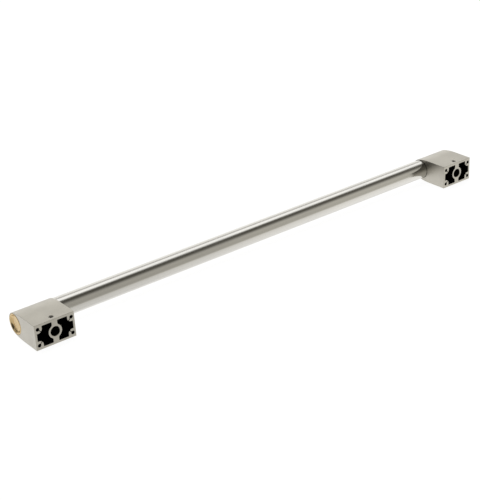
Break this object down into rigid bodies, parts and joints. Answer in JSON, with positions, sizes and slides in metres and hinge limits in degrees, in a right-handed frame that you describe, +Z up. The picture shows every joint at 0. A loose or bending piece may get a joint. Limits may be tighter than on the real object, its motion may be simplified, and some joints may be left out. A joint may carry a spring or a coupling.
{
  "type": "appliance door bar handle",
  "caption": "Long round polished tube carried by D-shaped satin posts with open ribbed backs, stud bores, set screws and gold end caps.",
  "frame": {"origin": "on the door plane, midway between the two stud bores", "axes": "+X along the tube, +Y away from the door, +Z up, out of the faces that the set screws enter"},
  "size_m": [0.683, 0.0577, 0.031],
  "materials": {
    "polished_tube": "satin-polished stainless steel",
    "satin_post": "fine satin nickel plate, warm grey",
    "gold_cap": "polished brass",
    "plug_nylon": "moulded black nylon",
    "seal_rubber": "matt black",
    "zinc_screw": "bright zinc plate",
    "set_screw_steel": "plain stainless steel"
  },
  "bodies": {
    "handle": {"bar_tube": "polished_tube", "left_post": "satin_post", "left_end_cap": "gold_cap", "left_tube_plug": "plug_nylon", "left_tube_seal": "seal_rubber", "left_lock_screw": "zinc_screw", "right_post": "satin_post", "right_end_cap": "gold_cap", "right_tube_plug": "plug_nylon", "right_tube_seal": "seal_rubber", "right_lock_screw": "zinc_screw"},
    "left_set_screw": {"left_set_screw": "set_screw_steel"},
    "right_set_screw": {"right_set_screw": "set_screw_steel"}
  },
  "joints": [
    {"name": "left_set_screw_drive", "type": "slide", "parent": "handle", "child": "left_set_screw", "axis": [0, 0, -1], "range_m": [-0.0009, 0.0036]},
    {"name": "right_set_screw_drive", "type": "slide", "parent": "handle", "child": "right_set_screw", "axis": [0, 0, -1], "range_m": [-0.0009, 0.0036]}
  ]
}
